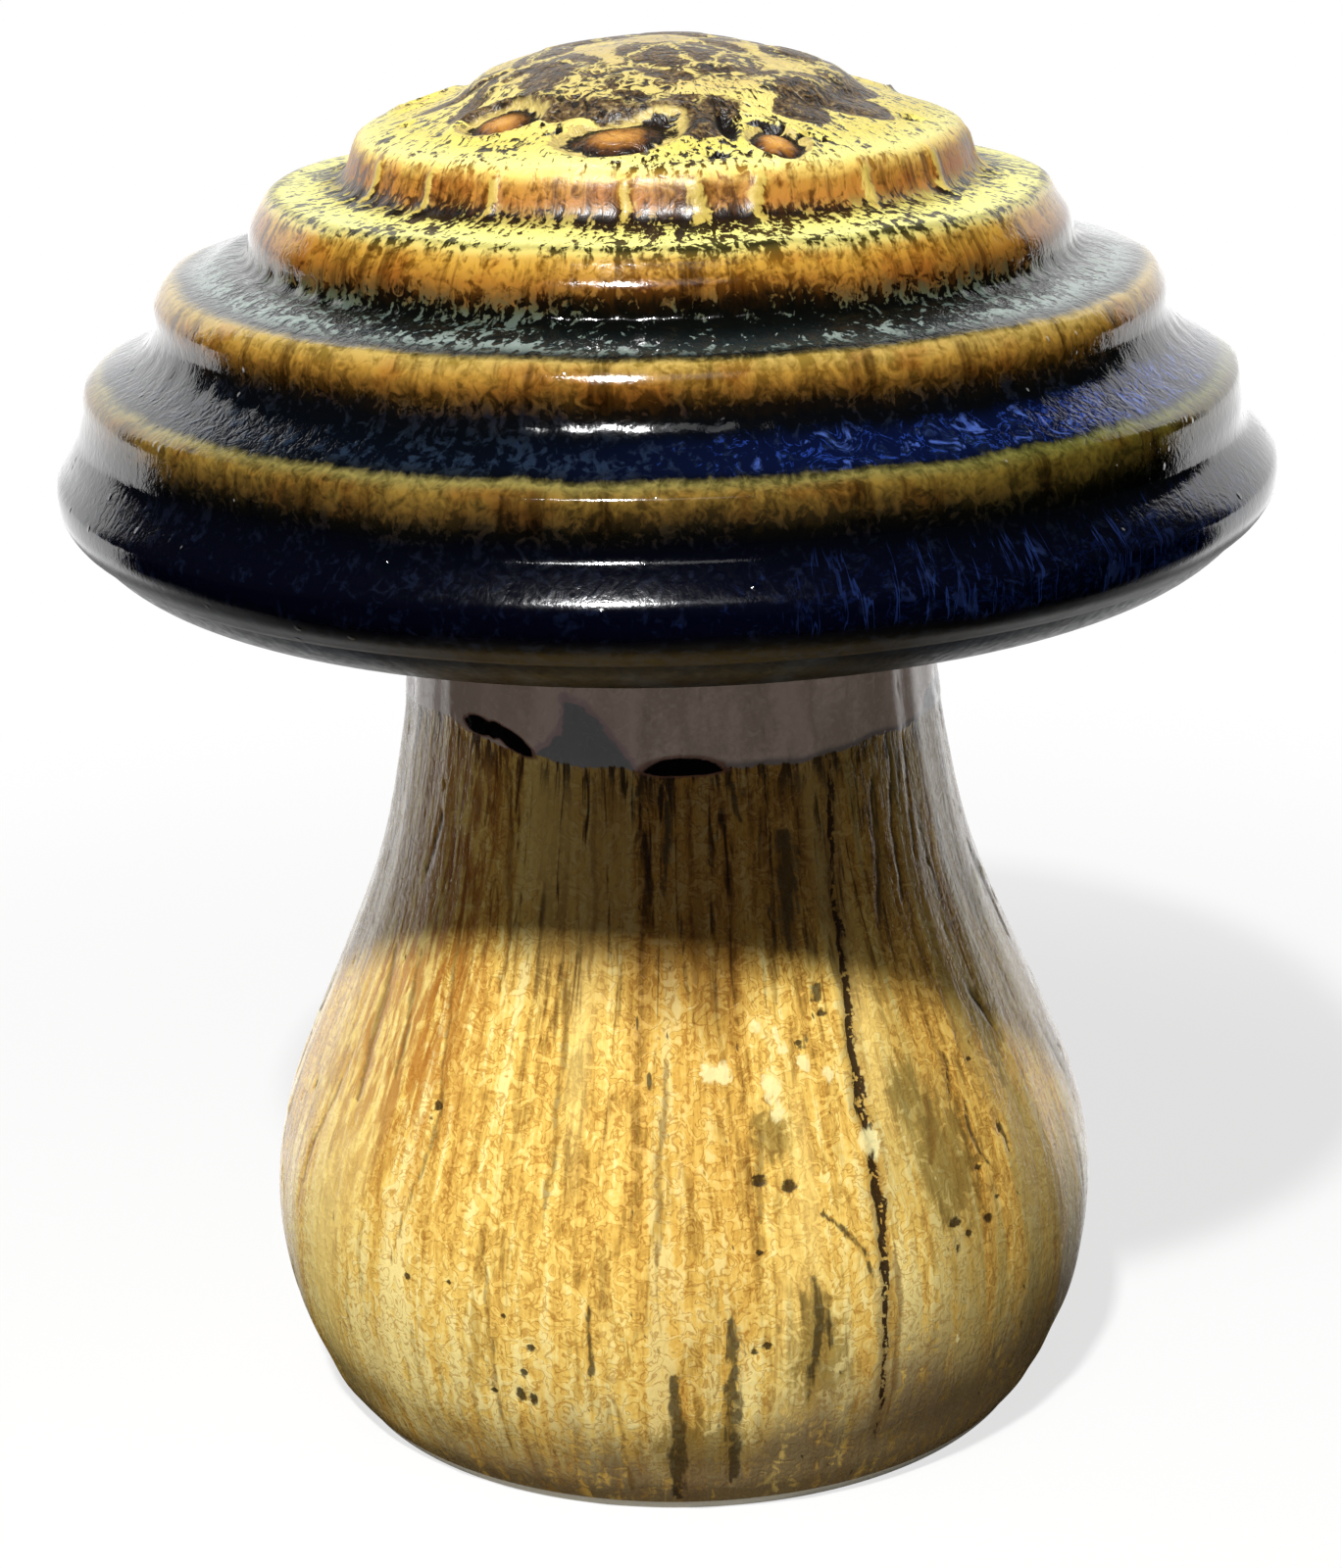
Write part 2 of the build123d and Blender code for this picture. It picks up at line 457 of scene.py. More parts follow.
# %% Rows and columns of the dome
turn = round_the_axis(640)
outer_run = np.concatenate([np.linspace(0.5, 18, 20), np.linspace(18.6, dome_length, 118)])
run = outer_run[:, None]
outer = np.stack([np.interp(outer_run, run_at, line[:, axis]) for axis in (0, 1)], -1)
step_in = diagonal_share * dome_wall
ceiling = [(0, apex_height - dome_wall)]
ceiling += [(dome_point(foot)[0] - step_in, dome_point(foot)[1] - step_in) for foot in foot_shares]
inner = spaced(spline_through(ceiling + [(seam_radius - seam_width, seam_height)]), 8.0)[1:][::-1]
print("rows of the dome:", len(outer), "outside and", len(inner), "inside, of", turn.size, "points each")

# %% [markdown]
# The relief holds what a fingertip would feel: rounded risers, a side that slumped a little in
# the kiln, drips over the first step, burst blisters at the foot of the crown, and ribs where
# the glaze pooled. Places on the surface are given as a turn in degrees and a run in mm.

# %% Blisters, drips and islands
# Each place is (turn, run, half width, half height, lean in degrees), and each drip is (turn, half
# width, run of its middle).
blisters = [(-43.9, 23.0, 3.3, 2.4, -30), (-8.9, 25.0, 5.0, 3.0, -22), (24.6, 27.6, 2.1, 2.8, -10),
            (118, 25.0, 3.6, 1.9, 20), (176, 24.0, 4.2, 2.0, -20), (-105, 26.0, 2.8, 2.0, 15)]
pits = [
    (16.8, 23.6, 0.9, 2.6, 4), (24.0, 23.0, 1.5, 0.8, 20), (11.5, 29.0, 1.3, 0.7, 0), (27.5, 24.6, 1.1, 0.6, 30),
    (-3.0, 27.6, 1.5, 0.6, -40), (-26.0, 24.5, 1.2, 0.7, -30), (33.0, 27.5, 1.5, 0.6, 35), (145, 25.5, 1.4, 0.7, 0),
    (-140, 24.5, 1.2, 0.9, 20), (-75, 27.0, 1.0, 0.6, 0), (70, 27.8, 1.2, 0.6, 20)]
islands = [
    (24, 9.4, 5.6, 4.8, 5), (-36, 16.3, 3.4, 5.2, -32), (-8.5, 14.6, 3.2, 2.7, 0), (-4, 20.0, 7.0, 2.0, 4),
    (9, 22.6, 2.4, 2.4, 10), (-79, 18.5, 1.5, 5.0, 4), (-66, 17.5, 1.3, 4.0, -10), (-62, 12.0, 3.0, 2.4, 0),
    (52, 18.6, 3.6, 2.6, 30), (60, 23.2, 3.0, 2.2, 35), (40, 22.5, 2.2, 1.8, 40), (76, 20.0, 3.0, 2.4, 20),
    (5, 5.0, 2.2, 1.6, 0), (-52, 22.0, 3.6, 1.2, -30), (88, 14.0, 3.4, 3.0, 0), (-90, 11.5, 3.6, 2.4, 0)]
islands += drawn(18, (100, 262), (6, 26), (2.4, 4.8), (1.6, 4.0), (-40, 40))
drips = ((-30.5, 0.55, 34.8), (-6.2, 0.6, 35.0), (6.0, 1.1, 35.6), (16.6, 0.8, 35.4), (-44.5, 0.5, 34.0),
         (-62, 0.7, 35.0), (38, 0.7, 35.2), (58, 0.9, 35.0), (84, 0.9, 35.0), (112, 0.6, 34.6),
         (150, 1.0, 35.2), (-170, 0.7, 34.8), (-138, 0.9, 35.2), (-98, 0.6, 34.6))
dome_grid = (outer[:, :1], turn, run)
print("blisters, pits, islands and drips:", [len(places) for places in (blisters, pits, islands, drips)])


# %% How near each point is to a place
def nearness(places, grid, power=2.0):
    """For each grid point, its least distance to a place in half sizes: 0 in the middle and 1 at
    the edge. A place leans by an angle, and a higher power squares its corners."""
    radius, turns, runs_here = grid
    nearest = np.full(np.broadcast_shapes(radius.shape, turns.shape, runs_here.shape), 9.0)
    for degrees, at, wide, tall, lean in places:
        across, down = radius * apart(turns, degrees), runs_here - at
        cosine, sine = np.cos(np.radians(lean)), np.sin(np.radians(lean))
        along, over_it = cosine * across + sine * down, cosine * down - sine * across
        far = (np.abs(along / wide) ** power + np.abs(over_it / tall) ** power) ** (1 / power)
        nearest = np.minimum(nearest, far)
    return nearest


blister, pit = nearness(blisters, dome_grid), nearness(pits, dome_grid)
island = 1.0 - nearness(islands, dome_grid, 2.6)
drip = sum(bump(outer[:, :1] * apart(turn, degrees) + 0.12 * (run - at) + 0.25 * np.sin(run + degrees), 0, wide)
           for degrees, wide, at in drips)
drip = np.clip(drip, 0, 1) * ramp(run, 31.5, 33.0) * ramp(run, 38.6, 36.6)

# %% Relief of the dome
# Every height and depth is in mm, and every hill is (height, run of its middle, half width).
wander = waves(turn, 2, 7, 0.02, run) * 0.16 + waves(turn, 8, 22, 0.05, run) * 0.05
ribs = waves(turn, 40, 90, 0.02, run)
pooled = hills(run, (1.0, 37.3, 1.2), (0.6, 50.2, 1.2), (0.4, 64.8, 1.2))
crown_waves = waves(turn, 2, 6, 0.25, run) * ramp(run, 0, 12) * ramp(run, 30, 24)
# Risers are a little fuller in the middle than straight ones, and crests are pulled back.
rounding = hills(run, (0.20, 32.6, 1.1), (-0.20, 35.3, 1.1), (-0.12, 43.4, 0.8), (0.56, 47.2, 1.9),
                 (0.40, 60.3, 1.2), (-0.18, 62.6, 1.2), (0.25, 65.2, 1.3), (0.15, 75.0, 1.6),
                 (0.12, 80.5, 1.9), (0.20, 86.4, 1.6))
slump = bump(apart(turn, -92), 0, 0.75) * hills(run, (0.7, 45.0, 3.0), (0.8, 52.5, 2.5), (0.7, 60.0, 4.0),
                                                (0.8, 72.0, 4.0), (1.1, 77.6, 2.4))
burst = hills(blister, (-0.45, 1.0, 0.30), (0.12, 0.0, 0.6), (0.45, 1.5, 0.28))
relief = (wander * ramp(run, 0, 25) + 0.28 * drip + 0.14 * ribs * pooled + 0.22 * crown_waves + rounding + slump
          + burst - 1.0 * np.exp(-pit ** 4) + 0.18 * np.clip(island * 3, 0, 1) * ramp(run, 0, 4))
relief *= ramp(run, dome_length, dome_length - 3)
print("relief of the dome in mm:", np.round([relief.min(), relief.max()], 2))

# %% [markdown]
# Two glazes lie over each other on every band, a dark one and a pale one. The table gives both
# colours down the run, and how much of the surface the pale one covers. Where the glaze pooled
# under a step it is torn into threads with hard edges, and on the risers it fades softly.

# %% Table of the glaze bands
# Run in mm, dark glaze, pale glaze, share of the pale one, hardness of its edges.
band_table = [
    (0.0, "#5c4826", "#cdb67a", 0.62, 8), (16.0, "#4c3a1c", "#dcc474", 0.70, 10),
    (19.0, "#35260e", "#ecd87e", 0.66, 12), (22.0, "#261a08", "#f0dc7c", 0.60, 14),
    (27.5, "#2c1f0a", "#ead86a", 0.62, 15), (29.8, "#5a4614", "#f0e482", 0.62, 13),
    (31.3, "#8a6c24", "#f8ec92", 0.64, 8), (32.5, "#a0742a", "#f0cc68", 0.54, 3),
    (33.4, "#74480e", "#c08a34", 0.52, 3), (34.9, "#52300c", "#b87a2e", 0.50, 3),
    (36.0, "#1c1008", "#9a7836", 0.36, 8), (37.3, "#0e0c06", "#b0a252", 0.42, 12),
    (39.0, "#1a1408", "#eee680", 0.50, 13), (40.6, "#2c2610", "#f6f08c", 0.54, 13),
    (42.3, "#46421a", "#f4ee92", 0.56, 12), (43.2, "#2c2810", "#b8ae60", 0.44, 8),
    (43.8, "#54461c", "#d8c46c", 0.54, 4), (44.4, "#6a4e1a", "#c8a048", 0.52, 4),
    (45.2, "#7c5416", "#c09238", 0.50, 3), (46.8, "#54320c", "#9c6a26", 0.50, 3),
    (48.2, "#180f05", "#6e5026", 0.38, 7), (49.5, "#060604", "#4c4c34", 0.34, 10),
    (51.3, "#070a09", "#4e5c56", 0.34, 12), (53.0, "#0e1516", "#78867e", 0.42, 12),
    (54.6, "#1c2628", "#8c9a94", 0.50, 9), (55.8, "#28302e", "#6a7670", 0.48, 8),
    (56.7, "#05070a", "#1c2224", 0.42, 3), (57.4, "#3c3418", "#80703c", 0.50, 3),
    (58.1, "#8c7430", "#c0a45a", 0.54, 3), (59.6, "#6e4e18", "#a88034", 0.50, 2.5),
    (60.8, "#442e0e", "#855c22", 0.48, 2.5), (62.2, "#100b06", "#46341c", 0.38, 5),
    (63.5, "#040507", "#14141a", 0.34, 6), (65.0, "#030509", "#10161e", 0.34, 6),
    (68.5, "#040812", "#1c2838", 0.38, 6), (69.8, "#04060a", "#181c20", 0.42, 2.5),
    (70.8, "#4e4822", "#867a42", 0.55, 2.5), (72.2, "#4a3814", "#80652a", 0.52, 2.5),
    (73.8, "#281e0c", "#5c441c", 0.48, 2.5), (75.2, "#0a0906", "#2a2214", 0.38, 5),
    (76.8, "#020308", "#0a0c14", 0.34, 5), (80.0, "#02030c", "#0a1020", 0.32, 5),
    (85.9, "#02030c", "#0a0f20", 0.32, 5), (86.6, "#0a0f18", "#1a2434", 0.48, 6),
    (88.0, "#0e141e", "#243042", 0.50, 4), (89.6, "#121822", "#2a3444", 0.50, 4)]
table_runs, _, _, table_shares, table_hardness = zip(*band_table)
print("rows of glaze bands:", len(band_table))

# %% Where the glazes lie
# side_way grows from 0 in front to 1 on the sides, where the pale glaze is feathered further.
side_way = np.clip((np.abs(np.degrees(turn)) - 14) / 30, 0, 1)
feathered = bump(run, 35.0, 1.8) * ramp(np.degrees(turn), 8, 24) + bump(run, 48.0, 2.2) * side_way
pale_share = (np.interp(run, table_runs, table_shares) + 0.06 * waves(turn, 3, 14, 0.05, run) + 0.16 * feathered
              + 0.05 * side_way * bump(run, 60, 30) - 0.13 * (1 - side_way) * bump(run, 53.6, 2.6))
# The risers of the steps, and how far each border is torn, how wavy the skin is and how blue.
riser = sum(ramp(run, low, low + 0.8) * ramp(run, high, high - 1.0)
            for low, high in ((32.0, 36.2), (44.0, 49.2), (57.6, 63.0), (70.8, 76.0)))
hardness = np.interp(run, table_runs, table_hardness)
fray = 0.10 + hills(run, (1.1, 36.6, 1.6), (0.7, 41.5, 1.2), (1.2, 48.9, 1.6), (0.9, 53.8, 1.2), (0.10, 56.4, 0.8),
                    (0.8, 62.6, 1.6), (0.6, 67.5, 2.5), (0.06, 70.5, 0.7), (0.8, 75.0, 1.2), (0.2, 86.4, 0.6))
fray = fray * (1 + 0.5 * side_way)
skin = 0.06 + 0.25 * side_way * bump(run, 60, 24) + hills(
    run, (0.9, 24, 8), (1.0, 39.0, 3.0), (1.0, 53.4, 2.8), (0.5, 67.6, 2.0), (0.15, 80.4, 1.6))
band_run = run + 0.25 * waves(turn, 2, 6, 0.03, run) + 0.12 * waves(turn, 12, 30, 0.05, run)
blue = np.clip(0.95 * np.cos(turn - math.radians(64)) + 0.35 * waves(turn, 3, 9), 0, 1) + 0 * run
print("share of the pale glaze:", pale_share.min().round(2), "to", pale_share.max().round(2))

# %% Make the dome
# Each value is a grid on the outside, and one number for the hollow inside.
dome_values = {"run": (band_run, dome_length + 4), "fray": (fray, 0.2), "skin": (skin, 0.2),
               "pale_share": (pale_share, 0.5), "riser": (riser, 0), "hardness": (hardness, 3), "drip": (drip, 0),
               "blister": (blister, 9), "pit": (pit, 9), "island": (island, -9), "blue": (blue, 0)}
dome = turned_piece("cap_dome_glazed", np.concatenate([outer, inner]), turn, (apex_height, ceiling[0][1]),
                    relief, dome_values, (cap_radius - rim_clearance, apex_height))
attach(dome, "cap")
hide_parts("cap_dome")

# %% [markdown]
# ## Glaze of the dome
# The real finish is a glossy studio glaze in poured bands: yellow and umber on the crown, amber
# on each step, black and navy in the hollows, a dark blue rim. Such a glaze is coloured glass
# over clay, IOR about 1.5. Its bands follow the run down the outline, so a colour ramp over the
# run paints them, and noise stretched down the slope tears their borders into threads.

# %% Places and noises for the cap glaze
glaze, tree, shader = new_material("Poured_band_glaze")
here = {name: add("Attribute", attribute_name=name).outputs["Fac"] for name in dome_values}
run_mm, place = here["run"], in_mm()
compass = level_way(place)
streaks, stripe_way = along_grain(compass, 42.0, run_mm, 0.45), along_grain(compass, 42.0, run_mm, 0.081)

# Threads 1 to 1.5 mm wide and 2.4 mm long down the slope, worms 1.4 mm wide that lie any way, runs
# of colour about 5 mm wide, grains under half a millimetre, clouds 5 mm wide, stripes 3 mm wide and
# 30 mm long, and crystal flakes 3 mm wide.
threads, worms, runs, grains, clouds, stripes, flakes = (add("TexNoise", dict(zip(NOISE, row))) for row in (
    (streaks, 0.92, 3.0, 0.58, 0.9), (place, 0.72, 2.5, 0.55, 1.3), (streaks, 0.20, 2.0), (place, 2.4, 2.0, 0.7),
    (place, 0.19, 3.0), (stripe_way, 0.42, 4.0, 0.65, 0.2), (place, 0.32, 4.0, 0.60, 1.0)))

# %% Bands of the cap glaze
torn = add("Math", [frayed(0.0, (threads, 3.0)), here["fray"], run_mm], operation="MULTIPLY_ADD")
torn = frayed(torn, (runs, 0.9))


def band_colour(column):
    """Colour of a table's column at the torn run. A ramp holds 32 stops, so two share the table."""
    split = 31
    shared = table_runs[split]
    halves = []
    for rows, low, high in ((band_table[:split + 1], 0.0, shared), (band_table[split:], shared, table_runs[-1])):
        stops = [((row[0] - low) / (high - low), row[column]) for row in rows]
        halves.append(add("ValToRGB", [add("MapRange", [torn, low, high, 0.0, 1.0])], stops))
    return paint(*halves, add("Math", [torn, shared], operation="GREATER_THAN"))


mottle = frayed(here["pale_share"], (threads, 0.95), (worms, 0.95), (grains, 0.22))
on_pale = add("Math", [add("Math", [mottle, 0.5], operation="SUBTRACT"), here["hardness"], 0.5],
              operation="MULTIPLY_ADD", use_clamp=True)
bands = paint(band_colour(1), band_colour(2), on_pale)

# Runs of rust, of shade and of amber vary the risers, one to five millimetres wide, and the bands
# turn greener to the right of the front.
bands = paint(bands, "#d47a38", (clouds, 0.50, 0.66, 0.35), here["riser"], blend="MULTIPLY")
bands = paint(bands, "#6a5238", (stripes, 0.50, 0.66, 0.75), here["riser"], blend="MULTIPLY")
bands = paint(bands, "#5c5448", (stripes, 0.47, 0.36, 0.35), here["riser"], blend="DODGE")
toward_right = add("SeparateXYZ", [compass]).outputs["X"]
bands = paint(bands, "#a8c49a", (toward_right, 0.15, 0.75, 0.75), (run_mm, 56.0, 72.0), blend="MULTIPLY")

# %% Crown of the cap glaze
# Umber islands with broken shores and thin yellow veins, and pinholes where gas broke through.
shore = frayed(here["island"], (clouds, 0.5), (worms, 0.55), (grains, 0.15))
umber = add("ValToRGB", [frayed(worms, (grains, 1.0))], [(0.26, "#1f150a"), (0.40, "#372815"), (0.50, "#503c22"),
                                                         (0.62, "#6c5532"), (0.78, "#9a8658")])
crown = paint(bands, umber, (shore, -0.36, -0.27))
bent = add("VectorMath", {0: worms.outputs["Color"], "Scale": 3.0}, operation="SCALE")
cracks = add("TexVoronoi", {"Vector": add("VectorMath", [place, bent], operation="ADD"), "Scale": 0.16,
                            "Randomness": 0.9}, feature="DISTANCE_TO_EDGE")
crown = paint(crown, "#e6d27c", (cracks, 0.075, 0.03, 0.9), (run_mm, 20.5, 18.0), (worms, 0.40, 0.52))
cells = add("TexVoronoi", {"Vector": place, "Scale": 0.75, "Randomness": 1.0})
hole_size = add("MapRange", [add("SeparateColor", [cells.outputs["Color"]]), 0.36, 1.0, 0.0, 0.38])
hole = add("Math", [frayed(cells.outputs["Distance"], (grains, 0.3)), hole_size], operation="LESS_THAN")
hole = share(hole, (run_mm, 8.0, 20.0), (run_mm, 31.5, 30.0))
crown = paint(crown, "#161008", hole, 0.9)
crown = paint(crown, "#22180a", (frayed(worms, (threads, 0.8)), 0.43, 0.35, 0.85), (run_mm, 12.0, 20.0),
              (run_mm, 32.0, 30.5))

# Yellow drips over the first step, torn by the threads.
on_drip = (frayed(here["drip"], (threads, 1.3), (worms, 1.6)), 0.40, 0.70, 0.8)
crown = paint(crown, paint("#a07c28", "#f0dc74", worms), on_drip, (here["drip"], 0.02, 0.15))

# Burst blisters: an amber pod, lighter in its middle as a painted highlight, in a groove darkened with painted shade,
# and black pits.
edge = frayed(here["blister"], (clouds, 1.2), (worms, 0.5), (grains, 0.12))
# The light middle of this ramp is a painted highlight, and its dark end is painted shade in the groove.
pod = add("ValToRGB", [edge], [(0.10, "#d9a04c"), (0.34, "#bd8236"), (0.56, "#8a5820"), (0.76, "#43260e"),
                               (0.92, "#120a05"), (1.0, "#1d140b")])
crown = paint(crown, paint("#8a6a2e", "#f6e28a", worms), (edge, 1.42, 1.22))
crown = paint(crown, pod, (edge, 1.12, 1.02))
crown = paint(crown, "#120b06", (frayed(here["pit"], (worms, 1.2)), 1.15, 0.95))

# %% Blue crystals of the cap glaze
# Crystals 1 to 3 mm across grow in the navy hollow, more of them to the right of the front.
hollow = share((torn, 64.0, 66.5), (torn, 70.3, 69.2))
zone = add("Math", [hollow, share((torn, 77.0, 81.0, 0.10), (torn, 86.4, 85.0))], operation="MAXIMUM")
painted = paint(crown, "#081440", here["blue"], zone, 0.5)
painted = paint(painted, "#28459c", (off_middle(flakes), 0.022, 0.004, 0.55), zone,
                (frayed(worms, (here["blue"], 0.45)), 0.50, 0.68))
painted = paint(painted, paint("#1c3a94", "#6482d2", threads), zone,
                (frayed(flakes, (here["blue"], 0.22)), 0.64, 0.74, 0.65))
# Thin blue lines run down the rim.
painted = paint(painted, "#2a4080", (off_middle(stripes), 0.012, 0.002, 0.28), (torn, 76.8, 79.0),
                (torn, 86.2, 85.0), (frayed(clouds, (here["blue"], 0.5)), 0.42, 0.72))

# %% Bumps and sheen of the cap glaze
# The height adds up the wavy skin, beads of glaze up to a millimetre wide that catch the key lamp
# as points of light, the rough crown and the pinholes.
beads = add("TexVoronoi", {"Vector": place, "Scale": 0.36, "Randomness": 1.0})
kept = add("Math", [add("SeparateColor", [beads.outputs["Color"]]), 0.62], operation="GREATER_THAN")
height = frayed(share(frayed(threads, (worms, 1.0)), here["skin"]), (grains, 0.08))
for rise in (share((beads.outputs["Distance"], 0.17, 0.02, 0.7), kept, (run_mm, 57.0, 60.0)),
             share((run_mm, 33.0, 30.0), frayed(0.0, (worms, 2.2))), share(hole, -1.0)):
    height = add("Math", [height, rise], operation="ADD")
# The yellow is a matt, crystalline glaze, and the rim and the edge below it are less polished.
gloss = add("MapRange", [worms, 0.3, 0.7, 0.05, 0.12])
for duller in (share(add("MapRange", [on_pale, 0.0, 1.0, 0.26, 0.34]), (run_mm, 44.5, 42.5)),
               share((run_mm, 78.0, 79.6, 0.06), (run_mm, 83.4, 82.0)), share((run_mm, 84.5, 86.5, 0.45))):
    gloss = add("Math", [gloss, duller], operation="ADD")
dents = add("Bump", {"Height": height, "Distance": 0.22 * MM, "Strength": 0.7})
wire(shader, {"Base Color": painted, "Normal": dents, "Roughness": gloss, "IOR": 1.55})
coat(dome, glaze)

# %% [markdown]
# ## Cap, underside
# A saucer closes the dome. It was made apart, as a hollow cap is, and it meets the dome at the
# seam. A round socket in its middle drops over the stem's spigot. A thin sheet with a modifier
# for its thickness would do for the bowl, but one closed outline gives the socket too.

# %% Make the underside
land_height, spigot_radius, roll_drop = 93.5, 20.6, 1.4
socket_clearance, socket_height, socket_wall, saucer_wall = 0.6, 10.5, 4.2, 5.0
land_radius, roll_radius = cap_radius * land_share, cap_radius * roll_share
roll_middle, dish_middle = (55.4, 93.45), (45.0, 92.8)
bore, socket_top = spigot_radius + socket_clearance, land_height + socket_height
socket_outside, saucer_floor = bore + socket_wall, land_height + saucer_wall
lowest = (roll_radius, land_height - roll_drop)
roll = arc_through(lowest, roll_middle, (seam_radius, seam_height), 16)
dish = spline_through([lowest, dish_middle, (land_radius, land_height)], 16)
socket = [(bore, land_height), (bore, socket_top), (socket_outside, socket_top), (socket_outside, saucer_floor),
          (roll_radius, saucer_floor), (seam_radius - seam_width, seam_height)]
under = turned_piece("cap_underside_glazed", np.concatenate([roll[::-1], dish[1:], socket]), round_the_axis(384))
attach(under, "cap")
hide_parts("cap_underside")

# %% Underside glaze
# A thin, smoky wash of the same glaze, fired dull.
saucer_glaze, tree, shader = new_material("Smoky_underside_glaze")
place = in_mm()
rings = add("TexNoise", {"Vector": place, "Scale": 0.25, "Detail": 4.0})
fine = add("TexNoise", {"Vector": place, "Scale": 1.2, "Detail": 2.0})
wire(shader, {"Base Color": add("ValToRGB", [rings], [(0.3, "#10161e"), (0.5, "#1c242e"), (0.7, "#323c46")]),
              "Normal": add("Bump", {"Height": fine, "Distance": 0.12 * MM, "Strength": 0.4}),
              "Roughness": add("MapRange", [fine, 0.3, 0.7, 0.32, 0.45]), "Specular IOR Level": 0.1})
coat(under, saucer_glaze)

# %% [markdown]
# ## Stem
# The stem is a hollow pear. Its glaze looks like weathered wood: long threads run down it, and
# one old crack wanders from the neck to the foot. The marks could be cut into the mesh one by
# one. Here each is a distance worked out on the grid, which the relief and the glaze both read.

# %% Outline of the stem
foot_radius, belly_radius, neck_radius = 37.9, 44.3, 27.2
stem_bottom, belly_rise, shoulder_height, stem_wall = 1.1, 20.0, 92.0, 5.0
shoulder_edge, spigot_edge, spigot_wall, spigot_length = 1.2, 1.0, 4.2, 15.0
foot_ring_width, foot_recess, vent_radius, neck_end_share = 6.5, 2.0, 8.0, 0.965
lower_shares = ((0.10, 0.26), (0.25, 0.47), (0.45, 0.73), (0.70, 0.92))
upper_shares = ((0.127, 0.936), (0.268, 0.719), (0.408, 0.468), (0.549, 0.246), (0.690, 0.115), (0.830, 0.028))


def stem_side(inset):
    """Points up the stem's side in mm, moved towards the axis by inset."""
    belly_height = stem_bottom + belly_rise
    points = [(foot_radius + (belly_radius - foot_radius) * swell - inset, stem_bottom + belly_rise * way_up)
              for way_up, swell in lower_shares]
    points.append((belly_radius - inset, belly_height))
    points += [(neck_radius + (belly_radius - neck_radius) * swell - inset,
                belly_height + (shoulder_height - belly_height) * way_up) for way_up, swell in upper_shares]
    points.append((neck_radius - inset, belly_height + (shoulder_height - belly_height) * neck_end_share))
    return points


side = spline_through([(foot_radius, stem_bottom)] + stem_side(0))
shoulder = rounded([side[-1], (neck_radius, shoulder_height), (spigot_radius, shoulder_height)], [shoulder_edge])
side = spaced(np.concatenate([side, shoulder[1:-1]]), 0.75)[::-1]
spigot_bore, spigot_top = spigot_radius - spigot_wall, shoulder_height + spigot_length
inner_shoulder = shoulder_height - stem_wall
spigot = rounded([(spigot_bore, inner_shoulder), (spigot_bore, spigot_top), (spigot_radius, spigot_top),
                  (spigot_radius, shoulder_height)], [spigot_edge, spigot_edge], 0.8)
ring_radius, recess_height = foot_radius - foot_ring_width, stem_bottom + foot_recess
floor_height = recess_height + stem_wall
inside_points = [point for point in stem_side(stem_wall) if floor_height < point[1] < inner_shoulder]
hollow_side = spaced(spline_through([(foot_radius - stem_wall, floor_height)] + inside_points), 12.0)
foot_line = [(ring_radius, stem_bottom), (ring_radius, recess_height), (vent_radius, recess_height),
             (vent_radius, floor_height)]
stem_line = np.concatenate([side, foot_line, hollow_side, spigot])
print("rows of the stem:", len(stem_line), "of which outside:", len(side))

# %% The crack of the stem
around = round_the_axis(640)
side_radius, side_run = side[:, :1], measured(side[::-1])[1][::-1][:, None]
stem_grid = (side_radius, around, side_run)

# The crack: turn in degrees and run up the side in mm, and how wide it gapes.
crack_path = np.array([(33.1, 77.6, 0.22), (31.6, 69.5, 0.34), (30.4, 61.6, 0.40), (30.2, 57.9, 0.42),
                       (28.6, 51.0, 0.50), (27.8, 44.9, 0.55), (28.1, 40.0, 0.66), (27.2, 32.1, 0.52),
                       (26.9, 27.0, 0.35), (26.6, 16.3, 0.25), (27.0, 9.0, 0.12), (27.4, 4.0, 0.0)])[::-1]
crack_across = side_radius * apart(around, np.interp(side_run, crack_path[:, 1], crack_path[:, 0]))
crack_across = np.clip(crack_across + 0.12 * np.sin(side_run * 0.9) + 0.10 * np.sin(side_run * 2.3 + 1), -6, 6)
crack_gape = np.interp(side_run, crack_path[:, 1], crack_path[:, 2])
print("the crack gapes up to", crack_gape.max().round(2), "mm")


# %% Strokes on the stem
def strokes(places):
    """Brush-like marks: 1 along the middle line, 0 at the edge. The width follows a root of the sine
    along the stroke, so both ends close, bow bends the middle, and a slow wave makes it wander.
    Each place is (turn and run of the low end, turn and run of the high end, half width, bow)."""
    total = np.full((len(side), around.size), -1.0)
    for low_turn, low_run, high_turn, high_run, wide, bow in places:
        along = ramp(side_run, low_run, high_run)
        across = side_radius * apart(around, low_turn + (high_turn - low_turn) * along)
        across = across - bow * 4 * along * (1 - along)
        across = across + 0.15 * np.sin(side_run * 0.6 + low_turn) + 0.08 * np.sin(side_run * 1.9 + high_turn)
        width = wide * np.clip(np.sin(math.pi * along), 0, 1) ** 0.3 + 0.02
        total = np.maximum(total, np.clip(1 - np.abs(across) / width, -1, 1))
    return total
